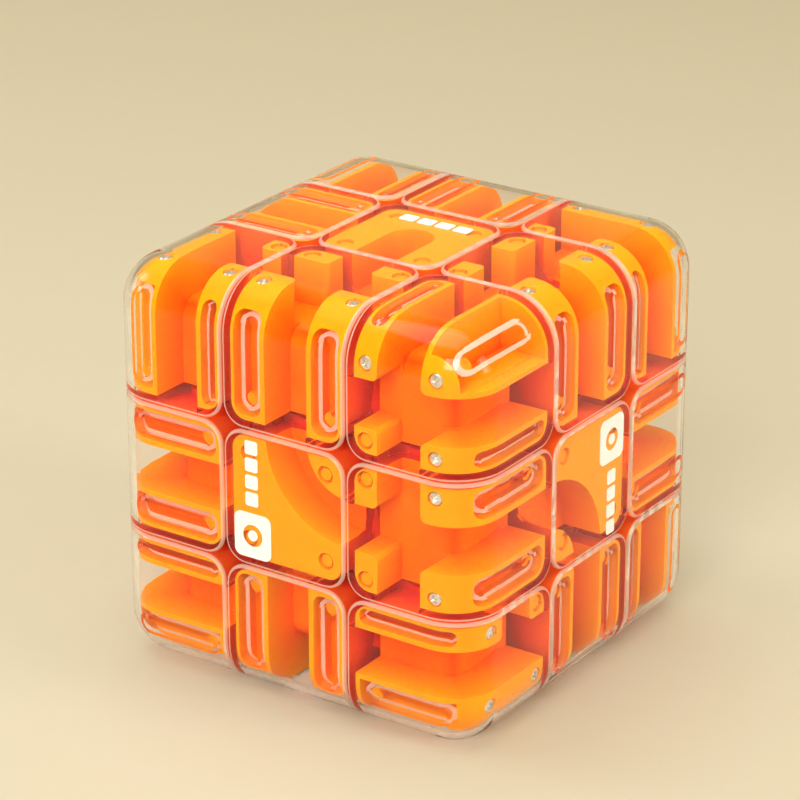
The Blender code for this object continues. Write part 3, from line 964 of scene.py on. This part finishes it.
class MAZE_OT_bases(bpy.types.Operator):
    """Builds the 26 orange tile bases with channels, pockets, pegs, screw holes and feet"""
    bl_idname = "maze.bases"
    bl_label = "Tile Bases"

    def execute(self, context):
        scene = context.scene
        t, c, d = scene.maze_tile, scene.maze_channel, scene.maze_detail
        for tile in MAZE:
            name = tile_name(tile)
            cuts = [
                *self.foot(tile, t), *self.channels(tile, c),
                *self.pocket_cuts(tile, t, c, d, scene.maze_island),
                *self.fixings(tile, t, c, d),
            ]
            if sum(map(abs, tile)) == 1:
                cuts += self.centre_bore(Vector(tile))
            block = rounded_tile(tile, t.wall + t.fit, t)
            base = carve(name + "_moulding", block, cuts, bevel=d.ease)
            dress(base, "orange ABS moulded with painted depth shade", context)
            # Second material: painted red shade on the sides that face the neighbouring tiles.
            base.data.materials.append(finish_of("orange ABS painted shade between tiles", context))
            mark_painted_shade_sides(base, tile, t)
            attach(base, LAYERS[tile[2]])
            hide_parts(name + "_base")
        return {"FINISHED"}

    def foot(self, tile, t):
        """The flange under the cover, and the neck and the foot that the tiles turn on."""
        foot_reach = FOOT_TOP_BOX[0][2]
        flange_top = HALF - COVER_DEPTH - t.fit
        foot_half = foot_reach - 2 * (PITCH / 2 - COVER_SIDE)
        flange = box_mesh(*tile_box(tile, COVER_SIDE, PITCH - COVER_SIDE, flange_top))
        neck = box_mesh(*tile_box(
            tile, foot_half - NECK_IN, PITCH / 2 + NECK_IN, flange_top - NECK_IN
        ))
        foot = carve(
            tile_name(tile) + "_foot",
            box_mesh(*tile_box(tile, foot_half, foot_reach, TURN_RADIUS)),
            [("INTERSECT", ball_mesh(TURN_RADIUS - FOOT_CLEARANCE))],
        )
        return [
            ("UNION", flange), ("DIFFERENCE", ball_mesh(TURN_RADIUS + FOOT_CLEARANCE)),
            ("UNION", taken_mesh(foot)), ("UNION", neck),
        ]

    def channels(self, tile, c):
        for cut in itertools.chain(channel_cuts(tile, c), reliefs(tile, c)):
            yield "DIFFERENCE", cut

    def pocket_cuts(self, tile, t, c, d, island):
        """The pockets, each with its peg where it is wide enough for one."""
        corner, least = 2.2 * MM, 2 * MM
        if tile == ISLAND_TILE:
            for cut in island_hollow(c, d, island):
                yield "DIFFERENCE", cut
        for pocket in pockets(tile, t, c, d, island):
            yield "DIFFERENCE", pocket.cut(min(corner, pocket.half_width * 0.9))
            if pocket.half_width > least:
                yield "UNION", pocket.peg(d)

    def fixings(self, tile, t, c, d):
        """The holes for the small screws, and the ringed posts in theirs."""
        top = t.wall + t.fit
        for spot, outward, screwed in screw_spots(tile, c, d):
            radius = d.screw_radius + 0.1 * MM if screwed else d.hole_radius
            bottom = spot - outward * (top + (d.hole_depth if screwed else d.post_depth))
            yield "DIFFERENCE", rod_mesh(bottom, spot + outward * MM, radius, 24)
            if not screwed:
                yield "UNION", rod_mesh(
                    bottom - outward * MM, spot - outward * (top + d.post_ring),
                    radius - d.post_ring, 24,
                )

    def centre_bore(self, outward):
        """The stepped bore of a centre tile for its screw and spring."""
        return [
            ("DIFFERENCE", rod_mesh(outward * 3 * MM, outward * 13 * MM, BORE_RADIUS, 24)),
            ("DIFFERENCE", rod_mesh(outward * 12 * MM, outward * 20 * MM, HEAD_BORE_RADIUS, 24)),
        ]


def mark_painted_shade_sides(base, tile, t):
    """Gives the second material, the painted red shade, to the faces of a base that look at the
    neighbouring tiles.
    """
    side = COVER_SIDE - t.wall - t.fit
    low, high = tile_box(tile, side, PITCH - side, HALF)
    for face in base.data.polygons:
        for axis in range(3):
            for sign, bound in ((-1, low[axis]), (1, high[axis])):
                outer = tile[axis] * sign > 0
                behind = (bound - face.center[axis]) * sign
                if not outer and face.normal[axis] * sign > 0.35 and behind < t.tile_radius * 0.7:
                    face.material_index = 1


def ball_mesh(radius):
    bm = bmesh.new()
    bmesh.ops.create_uvsphere(bm, u_segments=48, v_segments=24, radius=radius)
    return bm


class MAZE_OT_covers(bpy.types.Operator):
    """Builds the 26 clear covers with their side openings and hanging ribs"""
    bl_idname = "maze.covers"
    bl_label = "Clear Covers"

    def execute(self, context):
        scene = context.scene
        t, c, d = scene.maze_tile, scene.maze_channel, scene.maze_detail
        clear = [finish_of("clear polystyrene " + part, context) for part in (
            "moulded", "painted highlight edges", "side walls"
        )]
        for tile in MAZE:
            name = tile_name(tile)
            inside = box_mesh(*tile_box(tile, PITCH, 0, HALF - COVER_DEPTH))
            cuts = [
                ("DIFFERENCE", rounded_tile(tile, t.wall, t, places=(0, 2))),
                ("DIFFERENCE", inside),
            ]
            for face, way in ports(tile):
                cuts.append(("DIFFERENCE", port_cut(tile, face, way, t.wall, c)))
            for number, pocket in enumerate(pockets(tile, t, c, d, scene.maze_island)):
                rib = self.rib(f"{name}_rib_{number}", tile, pocket, t, d, clear)
                cuts.append(("UNION", taken_mesh(rib)))
            block = rounded_tile(tile, 0, t, rim=t.rim_radius, places=(0, 2))
            cover = carve(name + "_clear", block, cuts, materials=clear)
            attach(cover, LAYERS[tile[2]])
            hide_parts(name + "_cover")
        return {"FINISHED"}

    def rib(self, name, tile, pocket, t, d, clear):
        """A pocket's ring, trimmed to a band that follows the inside of the cover."""
        below = rounded_tile(tile, d.rib_depth, t, side_inset=-MM, places=(1, 1))
        trims = [("INTERSECT", rounded_tile(tile, t.wall * 0.5, t)), ("DIFFERENCE", below)]
        return carve(name, pocket.ring(d), trims, materials=clear)


class MAZE_OT_screws(bpy.types.Operator):
    """Builds the small cross-head screws of each tile, and finishes the centre screws"""
    bl_idname = "maze.screws"
    bl_label = "Screws"

    def execute(self, context):
        scene = context.scene
        c, d = scene.maze_channel, scene.maze_detail
        pattern = self.screw_head(d.screw_radius)
        sink = scene.maze_tile.wall + scene.maze_tile.fit + 0.15 * MM
        for tile in MAZE:
            fixings = [
                (spot, outward) for spot, outward, screwed in screw_spots(tile, c, d) if screwed
            ]
            if not fixings:
                continue
            bm = bmesh.new()
            for number, (spot, outward) in enumerate(fixings):
                copy = pattern.data.copy()
                turn = Vector((0, 0, 1)).rotation_difference(outward).to_matrix().to_4x4()
                twist = Matrix.Rotation(math.radians(25 + 40 * number), 4, "Z")
                copy.transform(Matrix.Translation(spot - outward * sink) @ turn @ twist)
                bm.from_mesh(copy)
                bpy.data.meshes.remove(copy)
            screws = new_object(tile_name(tile) + "_screws", bm)
            smooth(screws)
            dress(screws, "zinc plated steel turned", context)
            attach(screws, LAYERS[tile[2]])
        bpy.data.objects.remove(pattern, do_unlink=True)
        for name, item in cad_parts.items():
            if name.startswith("centre_screw"):
                dress(item, "zinc plated steel turned", context)
        return {"FINISHED"}

    def screw_head(self, radius):
        """A low pan head over a short shank, its top at z 0, with a cross recess."""
        shank, end, head = 0.75 * MM, -3.4 * MM, -1.2 * MM
        profile = [
            (0, end), (shank, end), (shank, head), (radius, head), (radius, -0.45 * MM),
            (radius * 0.86, -0.15 * MM), (radius * 0.5, -0.02 * MM), (0, 0),
        ]
        long, thin, deep = radius * 0.6, 0.22 * MM, 0.6 * MM
        bars = [
            ("DIFFERENCE", box_mesh(Vector((-a, -b, -deep)), Vector((a, b, MM))))
            for a, b in ((long, thin), (thin, long))
        ]
        return carve("screw_pattern", turned_mesh(profile, 24), bars)


class MAZE_OT_marks(bpy.types.Operator):
    """Builds plain white printed marks on the centre tiles: a ringed plate and short bars"""
    bl_idname = "maze.marks"
    bl_label = "Printed Marks"

    def execute(self, context):
        t, m = context.scene.maze_tile, context.scene.maze_marks
        height = HALF - t.wall - t.fit + m.lift
        # Per face: the middle of its plate and of its bars in mm, and the bars' pitch in mm.
        layouts = {
            "front": ("-y", (-8.8, -8.8), (-8.9, 5.4), 3.9),
            "right": ("+x", (8.8, 7.2), (9.0, -7.4), 3.9),
            "top": ("+z", None, (0.0, 10.0), 4.6),
        }
        for name, (face, plate, bars, pitch) in layouts.items():
            outward = WAYS[face]
            upright = name != "top"
            right = Vector((0, 0, 1)).cross(outward) if upright else WAYS["+x"]
            up = outward.cross(right)

            def place(spot):
                return outward * height + (right * spot[0] + up * spot[1]) * MM

            shapes = self.plate(name, place(plate), outward, right, up, m) if plate else []
            along, across = (up, right) if upright else (right, up)
            for number in range(4):
                spot = place(bars) + along * ((number - 1.5) * pitch * MM)
                outline = rounded_outline(
                    along, across, pitch / 2 * MM - m.bar_gap, m.bar_width, m.bar_radius, 4
                )
                shapes.append(new_object(
                    f"{name}_bar_{number}", prism_mesh(outline, spot, outward * m.ink)
                ))
            bm = bmesh.new()
            for shape in shapes:
                bm.from_mesh(shape.data)
                bpy.data.objects.remove(shape, do_unlink=True)
            marks = new_object(f"centre_{name}_marks", bm)
            smooth(marks)
            dress(marks, "white ink pad printed", context)
            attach(marks, "middle_layer" if upright else "top_layer")
        return {"FINISHED"}

    def plate(self, name, spot, outward, right, up, m):
        """A round-cornered plate with a hole, and the dot in the hole."""
        outline = rounded_outline(
            up, right, m.plate_height, m.plate_width, m.plate_radius, 6
        )
        hole = rod_mesh(spot - outward * MM, spot + outward * MM, m.ring_radius, 40)
        dot = rod_mesh(spot, spot + outward * m.ink, m.dot_radius, 32)
        return [
            carve(
                name + "_plate", prism_mesh(outline, spot, outward * m.ink),
                [("DIFFERENCE", hole)],
            ),
            new_object(name + "_dot", dot),
        ]


class MAZE_OT_ball(bpy.types.Operator):
    """Builds the smooth steel ball and finishes the middle piece"""
    bl_idname = "maze.ball"
    bl_label = "Ball and Core"

    def execute(self, context):
        low, high = (Vector(corner) for corner in BALL_BOX)
        bm = bmesh.new()
        clear_of_walls = 0.995
        radius = (high.z - low.z) / 2 * clear_of_walls
        bmesh.ops.create_icosphere(bm, subdivisions=5, radius=radius)
        bmesh.ops.translate(bm, vec=(low + high) / 2, verts=bm.verts)
        ball = new_object("steel_ball", bm)
        ball.data.shade_smooth()
        dress(ball, "bearing steel polished", context)
        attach(ball, "ball")
        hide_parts("maze_ball")
        dress(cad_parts["core_spider"], "white nylon moulded", context)
        return {"FINISHED"}


class MAZE_OT_springs(bpy.types.Operator):
    """Builds the springs that pull the centre tiles onto the core"""
    bl_idname = "maze.springs"
    bl_label = "Centre Springs"

    def execute(self, context):
        low, high = 12.5 * MM, SCREW_BOX[1][2] - 2.5 * MM
        turns, steps, radius, wire = 5, 20, 2.6 * MM, 0.28 * MM
        for way, outward in WAYS.items():
            side = Vector(outward.yzx)
            other = outward.cross(side)
            curve = bpy.data.curves.new("spring", "CURVE")
            curve.dimensions = "3D"
            curve.bevel_depth = wire
            curve.bevel_resolution = 2
            curve.use_fill_caps = True
            line = curve.splines.new("POLY")
            line.points.add(turns * steps)
            for number, point in enumerate(line.points):
                angle = math.tau * number / steps
                height = low + (high - low) * number / (turns * steps)
                place = outward * height + (
                    side * math.cos(angle) + other * math.sin(angle)
                ) * radius
                point.co = (*place, 1)
            tile = tuple(int(value) for value in outward)
            spring = bpy.data.objects.new(tile_name(tile) + "_spring", curve)
            context.scene.collection.objects.link(spring)
            curve.materials.append(finish_of("zinc plated steel turned", context))
            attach(spring, "middle_layer")
        return {"FINISHED"}


class MAZE_OT_stage(bpy.types.Operator):
    """Builds the paper sweep, the soft lights and the camera"""
    bl_idname = "maze.stage"
    bl_label = "Studio"

    def execute(self, context):
        scene = context.scene
        scene.view_settings.view_transform = "Standard"
        self.sweep(context)
        self.lamp("key_light", (0.30, -0.85, 0.62), (0.55, 0.45), 6.2, "#FFFCF6")
        self.lamp("top_light", (-0.15, 0.0, 1.0), (0.8, 0.8), 4.4, "#FFFFFF")
        self.lamp("left_light", (-0.98, -0.25, 0.35), (0.3, 0.6), 2.4, "#FFF9F0")
        self.lamp("right_light", (1.0, 0.15, 0.40), (0.3, 0.6), 3.4, "#FFF9F0")
        world = bpy.data.worlds.new("soft room")
        world.use_nodes = True
        back = world.node_tree.nodes["Background"]
        back.inputs["Color"].default_value = (*srgb("#FFDCA0"), 1)
        back.inputs["Strength"].default_value = 0.5
        scene.world = world
        scene.cycles.max_bounces = 128
        scene.cycles.transmission_bounces = 128
        scene.cycles.glossy_bounces = 128
        scene.cycles.transparent_max_bounces = 64
        self.camera(context)
        return {"FINISHED"}

    def sweep(self, context):
        """A wide floor that curves up into a backdrop; sizes in metres."""
        bm = bmesh.new()
        reach, rise, curve = 1.6, 1.2, 0.45
        rows = [(-reach, 0.0), (reach - curve, 0.0)]
        for step in range(1, 13):
            angle = math.pi / 2 * step / 12
            rows.append((
                reach - curve + curve * math.sin(angle), curve - curve * math.cos(angle)
            ))
        rows.append((reach, rise))
        turn = Matrix.Rotation(math.radians(34), 3, "Z")
        columns = [
            [
                bm.verts.new(turn @ Vector((x, y, -HALF + z)) + Vector((0, 0, -0.02 * MM)))
                for y, z in rows
            ]
            for x in (-2.4, 2.4)
        ]
        left, right = columns
        for step in range(len(rows) - 1):
            bm.faces.new((left[step], right[step], right[step + 1], left[step + 1]))
        floor = new_object("paper_sweep", bm)
        floor.data.shade_smooth()
        dress(floor, "background paper", context)

    def lamp(self, name, place, size, power, hex_colour):
        light = bpy.data.lights.new(name, "AREA")
        light.shape = "RECTANGLE"
        light.size, light.size_y = size
        light.energy = power
        light.color = srgb(hex_colour)
        item = bpy.data.objects.new(name, light)
        item.location = place
        item.rotation_euler = (-Vector(place)).to_track_quat("-Z", "Y").to_euler()
        bpy.context.scene.collection.objects.link(item)

    def camera(self, context):
        """A long lens on the front right corner; its place and aim are in tiles."""
        data = bpy.data.cameras.new("camera")
        data.lens = 152.5
        data.sensor_width = 36
        item = bpy.data.objects.new("camera", data)
        item.location = Vector((12.217, -18.033, 9.444)) * PITCH
        aim = Vector((-0.104, 0.033, 0.233)) * PITCH
        item.rotation_euler = (aim - item.location).to_track_quat("-Z", "Y").to_euler()
        context.scene.collection.objects.link(item)
        context.scene.camera = item


class MAZE_PT_panel(bpy.types.Panel):
    """Lists the steps in the 3D view's sidebar"""
    bl_idname = "MAZE_PT_panel"
    bl_label = "Cube Maze"
    bl_space_type = "VIEW_3D"
    bl_region_type = "UI"
    bl_category = "Cube Maze"

    def draw(self, context):
        for step in STEPS:
            self.layout.operator(step.bl_idname)


STEPS = (
    MAZE_OT_stage, MAZE_OT_bases, MAZE_OT_covers, MAZE_OT_screws, MAZE_OT_marks, MAZE_OT_ball,
    MAZE_OT_springs,
)
GROUPS = {
    "maze_tile": MAZE_PG_tile, "maze_channel": MAZE_PG_channel,
    "maze_detail": MAZE_PG_detail, "maze_island": MAZE_PG_island,
    "maze_marks": MAZE_PG_marks, "maze_colours": MAZE_PG_colours,
}


def register():
    for item in (*GROUPS.values(), *STEPS, MAZE_PT_panel):
        bpy.utils.register_class(item)
    for name, group in GROUPS.items():
        setattr(bpy.types.Scene, name, PointerProperty(type=group))


def unregister():
    for name in GROUPS:
        delattr(bpy.types.Scene, name)
    for item in reversed((*GROUPS.values(), *STEPS, MAZE_PT_panel)):
        bpy.utils.unregister_class(item)


def main():
    register()
    for step in STEPS:
        family, action = step.bl_idname.split(".")
        getattr(getattr(bpy.ops, family), action)()


if __name__ == "__main__":
    main()
